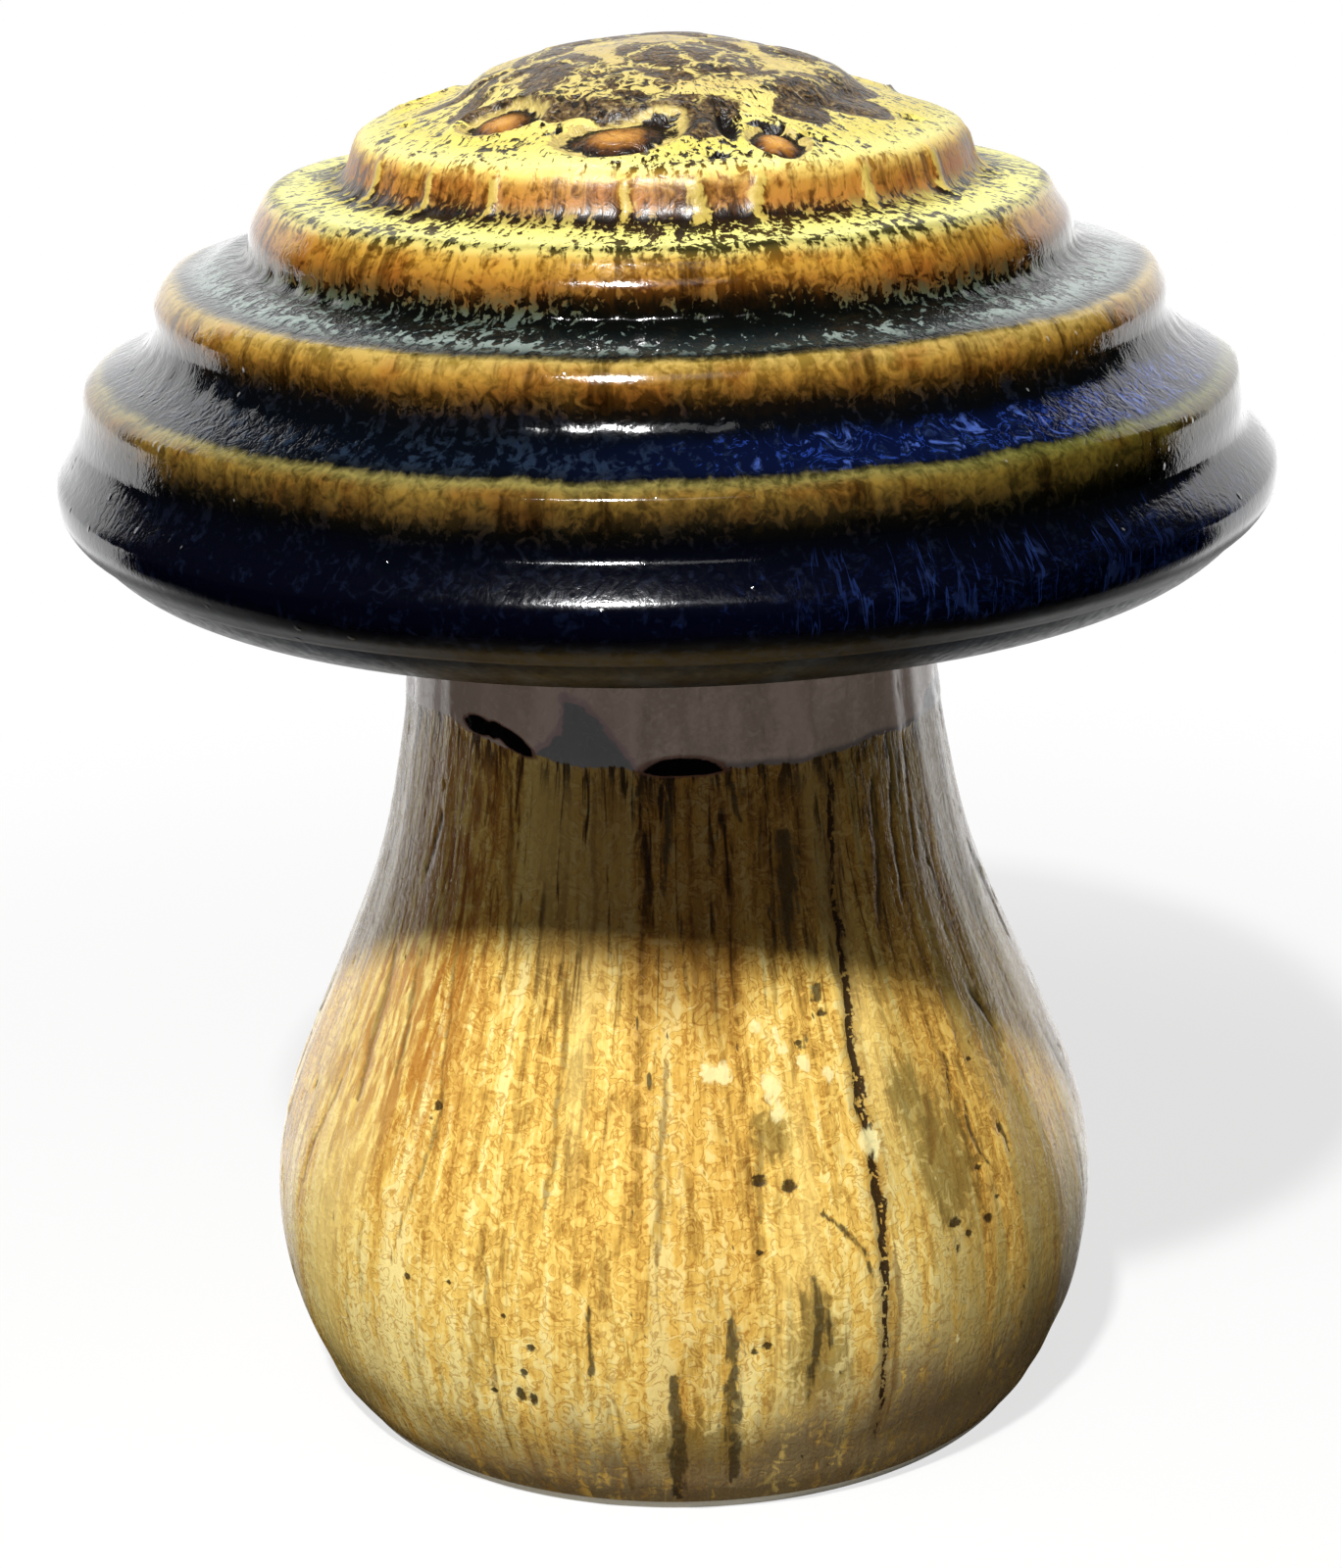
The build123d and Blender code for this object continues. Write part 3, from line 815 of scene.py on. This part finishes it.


# %% Strokes listed one by one, and drawn ones
front_strokes = [
    (-2.3, 0.0, -1.6, 19.4, 1.3, 0.1), (5.9, 4.0, 6.1, 25.5, 1.4, -0.3), (15.8, 14.0, 16.9, 28.8, 1.0, 0.4),
    (18.6, 19.5, 18.4, 26.0, 0.5, 0.1), (-13.2, 17.5, -12.7, 26.5, 0.5, 0.0), (25.0, 26.0, 17.2, 35.6, 0.55, 1.6),
    (-2.6, 66.5, -2.2, 77.0, 0.6, 0.3), (-57.0, 65.0, -54.5, 72.5, 0.6, 0.2), (47.9, 33.6, 46.9, 41.5, 0.45, -0.7),
    (52.6, 34.5, 52.2, 38.0, 0.35, 0.2), (45.5, 47.0, 44.0, 41.5, 0.4, 0.3), (-7.2, 76.6, -6.4, 79.8, 0.4, 0.0),
    (12.6, 74.0, 9.6, 80.2, 0.5, 0.4), (20.0, 60.0, 21.5, 73.0, 1.8, 0.0), (9.2, 73.6, 15.5, 74.4, 0.3, 0.0),
    (-5.4, 47.3, -5.4, 49.6, 0.5, 0.0), (60.5, 46.0, 57.0, 51.5, 0.45, 0.2), (19.2, 50.4, 20.6, 52.6, 0.5, 0.3),
    (22.4, 54.6, 24.6, 57.4, 0.8, 0.2), (39.5, 60.0, 44.0, 76.0, 0.6, 0.3), (47.0, 62.0, 50.5, 77.0, 0.5, -0.3),
    (53.0, 66.0, 56.0, 78.0, 0.5, 0.2)]
faint_strokes = [
    (-43.5, 27.0, -38.9, 45.0, 0.5, 0.5), (-38.9, 42.0, -44.3, 62.0, 0.45, -0.3),
    (-19.8, 33.0, -20.8, 61.0, 0.6, 0.6), (-3.8, 30.0, -2.2, 51.5, 0.6, -0.3), (-69.0, 24.0, -63.0, 46.0, 0.5, 0.3),
    (-58.0, 40.0, -61.0, 57.0, 1.2, 0.2), (-50.0, 44.0, -53.0, 58.0, 0.7, 0.0), (37.0, 36.0, 39.5, 44.0, 1.0, 0.2),
    (-26.5, 6.0, -27.5, 30.0, 0.4, 0.3), (28.0, 10.0, 28.8, 30.0, 0.7, 0.0), (-33.0, 60.0, -37.0, 79.0, 0.6, 0.4),
    (-16.0, 58.0, -17.0, 79.0, 0.6, 0.3), (3.0, 58.0, 3.5, 68.0, 0.9, 0.2), (-9.0, 2.0, -10.0, 16.0, 0.6, 0.2),
    (10.0, 34.0, 11.0, 44.0, 0.7, 0.2)]


def scattered(count, widths):
    """Strokes drawn by the seeded choice on the sides and the back."""
    return [(degrees, low, degrees + lean, low + rise, wide, bow) for degrees, low, rise, lean, wide, bow
            in drawn(count, (72, 288), (1, 62), (5, 20), (-4, 4), widths, (-0.6, 0.6))]


stroke = strokes(front_strokes + scattered(26, (0.4, 1.3)))
faint = strokes(faint_strokes + scattered(34, (0.4, 1.2)))
print("strokes by hand:", len(front_strokes), "strong,", len(faint_strokes), "faint")

# %% Specks, spots and blotches of the stem
# A speck is (turn, run, half width, half height), a glint has one size, and a blotch also leans.
specks = [
    (24.1, 54.1, 0.7, 0.5), (19.2, 51.3, 0.6, 0.5), (39.0, 30.1, 1.0, 0.6), (41.2, 28.4, 0.6, 0.5),
    (45.3, 29.0, 0.8, 0.6), (38.9, 27.3, 0.5, 0.5), (48.0, 30.6, 0.4, 0.4), (-40.0, 43.4, 0.6, 0.6),
    (-40.8, 42.2, 0.5, 0.4), (-40.3, 25.4, 0.5, 0.5), (-33.3, 26.1, 0.35, 0.35), (-21.0, 20.8, 0.6, 0.5),
    (-22.2, 17.8, 0.5, 0.6), (-23.0, 15.1, 0.6, 0.9), (-21.2, 14.7, 0.5, 0.9), (-27.0, 14.9, 0.5, 0.4),
    (-24.8, 23.8, 0.4, 0.4), (10.5, 38.5, 0.9, 0.7), (14.6, 37.6, 0.9, 0.7), (9.7, 31.3, 0.5, 0.4),
    (8.5, 21.2, 0.5, 0.5), (10.2, 21.6, 0.6, 0.5), (52.3, 37.0, 0.5, 0.6), (45.6, 34.4, 0.6, 0.4),
    (50.9, 44.9, 0.4, 0.4)]
specks += drawn(30, (70, 290), (8, 60), (0.35, 1.0), (0.35, 0.8))
speck = nearness([(*place_and_size, 0) for place_and_size in specks], stem_grid)
# Glints: small raised beads, painted near white as highlights of the lamp.
glint_spots = [(12.4, 53.6, 0.9), (15.4, 52.8, 0.6), (19.5, 49.4, 0.9), (23.3, 48.0, 0.9), (4.0, 49.7, 1.0),
         (6.6, 49.1, 1.1), (14.0, 47.6, 1.4), (14.4, 45.0, 1.1), (16.4, 51.0, 0.8), (28.0, 40.6, 1.5),
         (38.2, 17.5, 0.5), (-17.8, 8.4, 0.4)]
glint_spots += drawn(16, (70, 290), (12, 60), (0.5, 1.4))
glint_spot = nearness([(degrees, at, size * 0.8, size * 1.1, 0) for degrees, at, size in glint_spots], stem_grid)
blotches = [(40, 36.5, 4.6, 7.5, 8), (36, 44, 2.2, 5.0, -4), (17, 20, 3.4, 7.5, 0), (1.5, 9, 6.0, 5.0, 0),
            (58, 47, 2.4, 6.0, 0), (33, 10, 8.0, 4.0, 0), (13, 43, 2.2, 3.0, 0), (100, 40, 5, 9, 10),
            (150, 26, 6, 9, -8), (205, 48, 5, 8, 0), (250, 30, 6, 10, 6)]
blotch = nearness(blotches, stem_grid)
print("specks, spots and blotches:", [len(places) for places in (specks, glint_spots, blotches)])

# %% Edge of the smoky band
# The smoky band under the cap ends in a wandering line, and dark lens shapes lie on it. The arch
# in the middle is an ellipse cut off flat below.
band_ends = np.array([(-180, 79.6), (-90, 80.2), (-55, 82.1), (-48, 81.0), (-40, 80.9), (-30.6, 80.3), (-24.8, 79.5),
                      (-12.5, 79.8), (-8.7, 79.5), (2.4, 79.2), (9.5, 79.6), (26, 79.1), (43.7, 79.8), (60, 79.3),
                      (90, 79.0), (180, 79.6)])
band_low = np.interp(np.degrees(around), band_ends[:, 0], band_ends[:, 1]) + 0.22 * waves(around, 8, 26)
smoky = side_run - band_low
lens_marks = [(-44.8, 82.1, 2.2, 0.95, -4), (-40.2, 82.0, 1.3, 0.9, 0), (-35.4, 81.3, 2.9, 0.85, -24),
              (75, 80.6, 4.0, 1.2, 5), (140, 80.9, 4.4, 1.3, -8), (-120, 81.2, 3.6, 1.1, 10)]
arch = nearness([(1.6, 79.0, 4.2, 1.8, 0), (-165, 79.3, 3.0, 1.6, 0)], stem_grid)
arch = np.maximum(arch, 1 + (78.9 - side_run) * 1.2)
mark = np.minimum(nearness(lens_marks, stem_grid), arch)
print("the smoky band starts at a run of", band_low.min().round(1), "to", band_low.max().round(1), "mm")


# %% Patches and relief of the stem
def inside(corners):
    """How deep in mm each point lies in a shape with straight edges, given as (turn, run) corners
    that go round it clockwise: the least of its distances to the edges, less than 0 outside."""
    middle, girth = sum(corner[0] for corner in corners) / len(corners), 27.3
    across, up = girth * apart(around, middle), side_run
    flat = [(girth * math.radians(degrees - middle), at) for degrees, at in corners]
    depth = np.full((len(side), around.size), 9.0)
    for (x0, y0), (x1, y1) in zip(flat, flat[1:] + flat[:1]):
        length = math.hypot(x1 - x0, y1 - y0)
        depth = np.minimum(depth, ((across - x0) * (y1 - y0) - (up - y0) * (x1 - x0)) / length)
    return depth


patch = np.maximum.reduce([
    inside([(-24.8, 79.0), (-23.0, 86.4), (-20.0, 86.0), (-15.8, 84.4), (-10.6, 81.2), (-7.5, 79.0)]),
    inside([(-32.0, 79.4), (-23.3, 83.2), (-22.0, 79.0)]), inside([(100, 79.0), (108, 85.5), (116, 79.0)])])
# Every height and depth is in mm.
stem_relief = (0.08 * waves(around, 18, 48, 0.01, side_run) + 0.12 * waves(around, 2, 6, 0.02, side_run)
               - 0.45 * bump(crack_across, 0, 0.6) * np.clip(crack_gape * 2, 0, 1) - 0.22 * np.clip(stroke, 0, 1)
               - 0.12 * np.clip(faint, 0, 1) - 0.3 * np.exp(-speck ** 4) + 0.15 * np.exp(-glint_spot ** 4)
               - 0.10 * np.exp(-mark ** 4) + 0.15 * np.clip(smoky + 0.5, 0, 1) - 0.15)
stem_relief *= ramp(side_run, side_run[0], side_run[0] - 4) * ramp(side_run, 0, 2)
print("relief of the stem in mm:", np.round([stem_relief.min(), stem_relief.max()], 2))

# %% Make the stem
# Each value is a grid on the outside, and what the spigot and the hollow inside get.
stem_values = {"side_run": (side_run, stem_line[len(side):, 1:]), "crack_across": (crack_across, 6),
               "crack_gape": (crack_gape, 0), "stroke": (stroke, 0), "faint": (faint, 0), "speck": (speck, 9),
               "glint_spot": (glint_spot, 9), "patch": (patch, -9), "blotch": (blotch, 9), "smoky": (smoky, -9),
               "mark": (mark, 9)}
stem = turned_piece("stem_glazed", stem_line, around, None, stem_relief, stem_values)
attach(stem, "stem")
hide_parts("stem")

# %% [markdown]
# ## Glaze of the stem
# A honey-coloured ash glaze over clay. Wood-like threads run down it, it is warmer on the left
# and greyer on the right and at the foot, and a worm-like crawl covers it. Layers of paint over
# one ramp of honey colours give this, each with its own noise, because the real glaze has no
# pattern that repeats.

# %% Places and noises for the stem
wood_glaze, tree, shader = new_material("Honey_ash_glaze")
here = {name: add("Attribute", attribute_name=name).outputs["Fac"] for name in stem_values}
place, run_mm = in_mm(), here["side_run"]
compass, up_mm = level_way(place), add("SeparateXYZ", [place]).outputs["Z"]
toward_right = add("SeparateXYZ", [compass]).outputs["X"]

# Fibres 1 mm wide, long grain 3 mm wide, broad clouds and columns of tone 12 mm wide, loops 4 mm
# wide that draw the wood grain, a crawl of worms 1.4 mm wide, and grains under half a millimetre.
fibres, long_grain, broad, tones, loops = (
    add("TexNoise", dict(zip(NOISE, (along_grain(compass, 40.0, up_mm, stretch), *row)))) for stretch, *row in (
        (0.22, 0.95, 4.0, 0.62, 0.5), (0.055, 0.36, 5.0, 0.66, 0.3), (0.35, 0.085, 3.0), (0.10, 0.085, 2.0, 0.5),
        (0.09, 0.26, 3.0, 0.55, 0.7)))
crawl, grains = (add("TexNoise", dict(zip(NOISE, row)))
                 for row in ((place, 0.72, 1.5, 0.5, 1.3), (place, 2.4, 2.0, 0.7)))

# %% Honey glaze
# Painted light from the white floor: the side grows lighter towards the foot.
painted_floor_light = share((run_mm, 36.0, 14.0, 0.11), (run_mm, 2.0, 14.0))
honey_level = frayed(long_grain, (grains, 0.18), (crawl, 0.34), (fibres, 0.60))
honey = add("ValToRGB", [add("Math", [honey_level, painted_floor_light], operation="ADD")],
            [(0.26, "#9a7430"), (0.38, "#cda04a"), (0.46, "#e9bc5b"), (0.55, "#f8d26e"), (0.66, "#ffe898")])
# The worm-like crawl is drawn by the lines where a noise crosses its middle.
honey = paint(honey, "#b8945c", (frayed(off_middle(crawl), (grains, 0.05)), 0.045, 0.012, 0.6), blend="MULTIPLY")
honey = paint(honey, "#c8aa70", (tones, 0.54, 0.66, 0.3), blend="MULTIPLY")
honey = paint(honey, "#ffe48c", (tones, 0.48, 0.36, 0.6))
# Wood grain is drawn the same way by a noise stretched up the stem, stronger below the cap.
grain_depth = add("MapRange", [run_mm, 50.0, 66.0, 0.30, 0.92])
honey = paint(honey, "#4a3214", (off_middle(loops), 0.045, 0.006), (fibres, 0.62, 0.42), grain_depth)
# It is redder on the upper left and greyer on the right, with a few olive blotches.
honey = paint(honey, "#b46e28", (toward_right, -0.46, -0.74), (run_mm, 24.0, 48.0, 0.72),
              (toward_right, -0.98, -0.86), (fibres, 0.62, 0.44))
honey = paint(honey, "#97854c", (toward_right, 0.15, 0.80), (frayed(long_grain, (broad, 1.2)), 0.35, 0.62, 0.62))
honey = paint(honey, "#6e5c2c", (frayed(here["blotch"], (crawl, 1.2), (fibres, 1.6)), 1.15, 0.45, 0.62))
# Painted shade darkens the upper part under the cap, most of all in front, and a brown wash lies round the foot.
from_front = add("Math", [add("Math", [toward_right, 0.10], operation="SUBTRACT")], operation="ABSOLUTE")
painted_shade_depth = add("MapRange", [from_front, 0.35, 0.80, 0.86, 0.45])
honey = paint(honey, "#806e5c", (frayed(run_mm, (broad, 20.0)), 51.0, 63.0), painted_shade_depth, blend="MULTIPLY")
honey = paint(honey, "#7e694b", (frayed(run_mm, (toward_right, -9.0), (broad, 26.0)), 23.0, 10.0),
              (frayed(fibres, (crawl, 0.6)), 0.20, 0.52, 0.9))

# %% Marks on the stem
marked = paint(honey, "#74521f", (frayed(here["faint"], (fibres, 1.6), (crawl, 0.9)), 0.15, 0.85, 0.65))
marked = paint(marked, "#3d2f1a", (frayed(here["stroke"], (crawl, 0.9), (fibres, 3.0)), 0.10, 0.80, 0.85))
marked = paint(marked, "#2a1c0e", (frayed(here["speck"], (grains, 0.7)), 1.15, 0.75, 0.9))
# The crack has a brown border, and here and there it is closed.
crack_side = add("Math", [frayed(here["crack_across"], (grains, 0.5), (crawl, 0.9))], operation="ABSOLUTE")
open_crack = add("Math", [frayed(here["crack_gape"], (fibres, 2.0)), crack_side], operation="SUBTRACT")
gaping = (here["crack_gape"], 0.02, 0.15)
marked = paint(marked, "#80602e", (open_crack, -1.3, 0.0, 0.5), gaping)
marked = paint(marked, "#2a180c", (open_crack, -0.10, 0.14, 0.95), gaping, (frayed(crawl, (grains, 0.5)), 0.34, 0.42))
# Painted highlights: the raised beads are painted near white, as glints of light.
marked = paint(marked, "#fff2b0", (frayed(here["glint_spot"], (crawl, 1.6), (fibres, 2.0)), 1.05, 0.55, 0.75))

# %% Glaze of the smoky band
smoky_at = here["smoky"]
on_smoke = share((frayed(smoky_at, (fibres, 1.1)), -0.12, 0.12))
marked = paint(marked, "#2c2014", (smoky_at, -4.6, -0.1, 0.85), (frayed(fibres, (long_grain, 0.7)), 0.52, 0.38))
smoke = add("ValToRGB", [frayed(broad, (grains, 0.12), (crawl, 0.12))],
            [(0.36, "#a08d84"), (0.48, "#b5a198"), (0.56, "#9c8a80"), (0.70, "#c4b2a8")])
patch_at = frayed(here["patch"], (crawl, 1.3))
smoke = paint(smoke, "#8c7480", (patch_at, -0.75, -0.25, 0.6))
smoke = paint(smoke, "#6c7276", (patch_at, -0.15, 0.25, 0.85))
smoke = paint(smoke, "#4c4c52", (smoky_at, 0.9, 0.2, 0.7), (toward_right, -0.3, 0.3))
marked = paint(marked, smoke, on_smoke)
mark_at = frayed(here["mark"], (crawl, 0.15))
marked = paint(marked, "#6a4438", (mark_at, 1.25, 1.05, 0.8))
marked = paint(marked, "#0c0606", (mark_at, 1.02, 0.92))

# %% Bumps and sheen of the stem
# The smoky band is smoother than the honey glaze.
height = share(frayed(0.0, (grains, 0.2), (fibres, 1.0), (crawl, 0.5)),
               add("MapRange", [on_smoke, 0.0, 1.0, 1.0, 0.12]))
wire(shader, {"Base Color": marked, "Roughness": add("MapRange", [crawl, 0.35, 0.65, 0.16, 0.30]),
              "Normal": add("Bump", {"Height": height, "Distance": 0.25 * MM, "Strength": 0.6})})
coat(stem, wood_glaze)

# %% [markdown]
# ## Cork ring and felt pad
# A thin cork ring keeps glazed clay from grinding on glazed clay where the cap rests, and a
# felt pad under the foot keeps the table from scratches. Both are cut from sheet, so a turned
# outline with small rounded edges is all their shape, and bumps give the crumbs and the fuzz.

# %% Cork ring
ring_clearance, ring_inset, ring_middle = 0.8, 1.4, (23.0, shoulder_height)
ring_inside, ring_outside, ring_top = spigot_radius + ring_clearance, neck_radius - ring_inset, land_height
ring_line = rounded([ring_middle, (ring_inside, shoulder_height), (ring_inside, ring_top), (ring_outside, ring_top),
                     (ring_outside, shoulder_height), ring_middle], [0.15, 0.15, 0.25, 0.25])[:-1]
ring_piece = turned_piece("seat_ring_cork", ring_line, round_the_axis(256))
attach(ring_piece, "seat_ring")
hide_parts("seat_ring")
# Pressed cork is crumbs about a millimetre wide, each with its own brown.
cork, tree, shader = new_material("Pressed_cork")
crumbs = add("TexVoronoi", {"Vector": in_mm(), "Scale": 0.9})
wire(shader, {"Base Color": add("ValToRGB", [add("SeparateColor", [crumbs.outputs["Color"]])],
                                [(0.0, "#8a5f38"), (0.5, "#b98a58"), (1.0, "#cda678")]),
              "Normal": add("Bump", {"Height": crumbs, "Distance": 0.2 * MM, "Strength": 0.7}),
              "Roughness": add("MapRange", [crumbs, 0.0, 1.0, 0.75, 0.95])})
coat(ring_piece, cork)

# %% Felt pad
pad_inset, pad_start = 0.7, 6.0
pad_radius = foot_radius - pad_inset
pad_line = rounded([(pad_start, stem_bottom), (pad_radius, stem_bottom), (pad_radius, 0.0), (pad_start, 0.0)],
                   [0.35, 0.2])
pad = turned_piece("base_pad_felt", pad_line, round_the_axis(384), (stem_bottom, 0.0))
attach(pad, "stem")
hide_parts("base_pad")
# Wool felt is matt and fuzzy, with tufts half a millimetre wide.
felt, tree, shader = new_material("Cream_felt")
fuzz = add("TexNoise", dict(zip(NOISE, (in_mm(), 2.2, 5.0, 0.7, 1.5))))
wire(shader, {"Base Color": add("ValToRGB", [fuzz], [(0.3, "#f6efd8"), (0.7, "#fffdf2")]),
              "Normal": add("Bump", {"Height": fuzz, "Distance": 0.1 * MM, "Strength": 0.5}),
              "Roughness": add("MapRange", [fuzz, 0.3, 0.7, 0.85, 1.0])})
coat(pad, felt)

# %% [markdown]
# ## Floor
# A plain white sheet. The camera sees it near white with the object's soft shadow on it, and
# pure white further off. Mirror rays see it lit behind the object, in a wedge that opens
# backwards, so the rim's front stays dark, and little of its light goes back up to the object.

# %% Make the floor
reach = 2.5
floor_mesh = bpy.data.meshes.new("floor")
corners = [(-reach, -reach, 0), (reach, -reach, 0), (reach, reach, 0), (-reach, reach, 0)]
floor_mesh.from_pydata(corners, [], [(0, 1, 2, 3)])
floor = bpy.data.objects.new("floor", floor_mesh)
bpy.context.scene.collection.objects.link(floor)

# %% White sheet
paper, tree, shader = new_material("White_sheet")
rays, on_floor = add("LightPath"), add("TexCoord").outputs["Object"]
side_at, back_at = (add("SeparateXYZ", [on_floor]).outputs[axis] for axis in "XY")
from_middle = add("Math", [side_at], operation="ABSOLUTE")
behind_wedge = add("Math", [from_middle, -0.45, back_at], operation="MULTIPLY_ADD")
near_side = share(add("MapRange", [back_at, 0.0, 0.05, 0.0, 0.2]),
                  add("MapRange", [from_middle, 0.18, 0.26, 1.0, 0.0]))
sheet_glow = add("Math", [add("MapRange", [behind_wedge, -0.02, 0.02, 0.0, 1.0]), near_side], operation="MAXIMUM")
wire(shader, {"Base Color": paint("#f4f4f3", "#a2a09b", rays.outputs["Is Diffuse Ray"]), "Roughness": 0.9,
              "Specular IOR Level": 0.0})
far = add("VectorMath", [on_floor], operation="LENGTH").outputs["Value"]
whiteness = add("MapRange", [far, 0.10, 0.26, 0.72, 1.0], interpolation_type="SMOOTHSTEP")
white = add("Emission", {"Color": "#ffffff", "Strength": 1.0})
mirrored_sheet = add("Emission", {"Color": "#ffffff", "Strength": share(sheet_glow, 1.6)})
lit = add("MixShader", [share(rays.outputs["Is Camera Ray"], whiteness), shader, white])
lit = add("MixShader", [rays.outputs["Is Glossy Ray"], lit, mirrored_sheet])
wire(tree.nodes["Material Output"], {"Surface": lit})
coat(floor, paper)

# %% Picture settings
bpy.context.scene.view_settings.view_transform = "Standard"
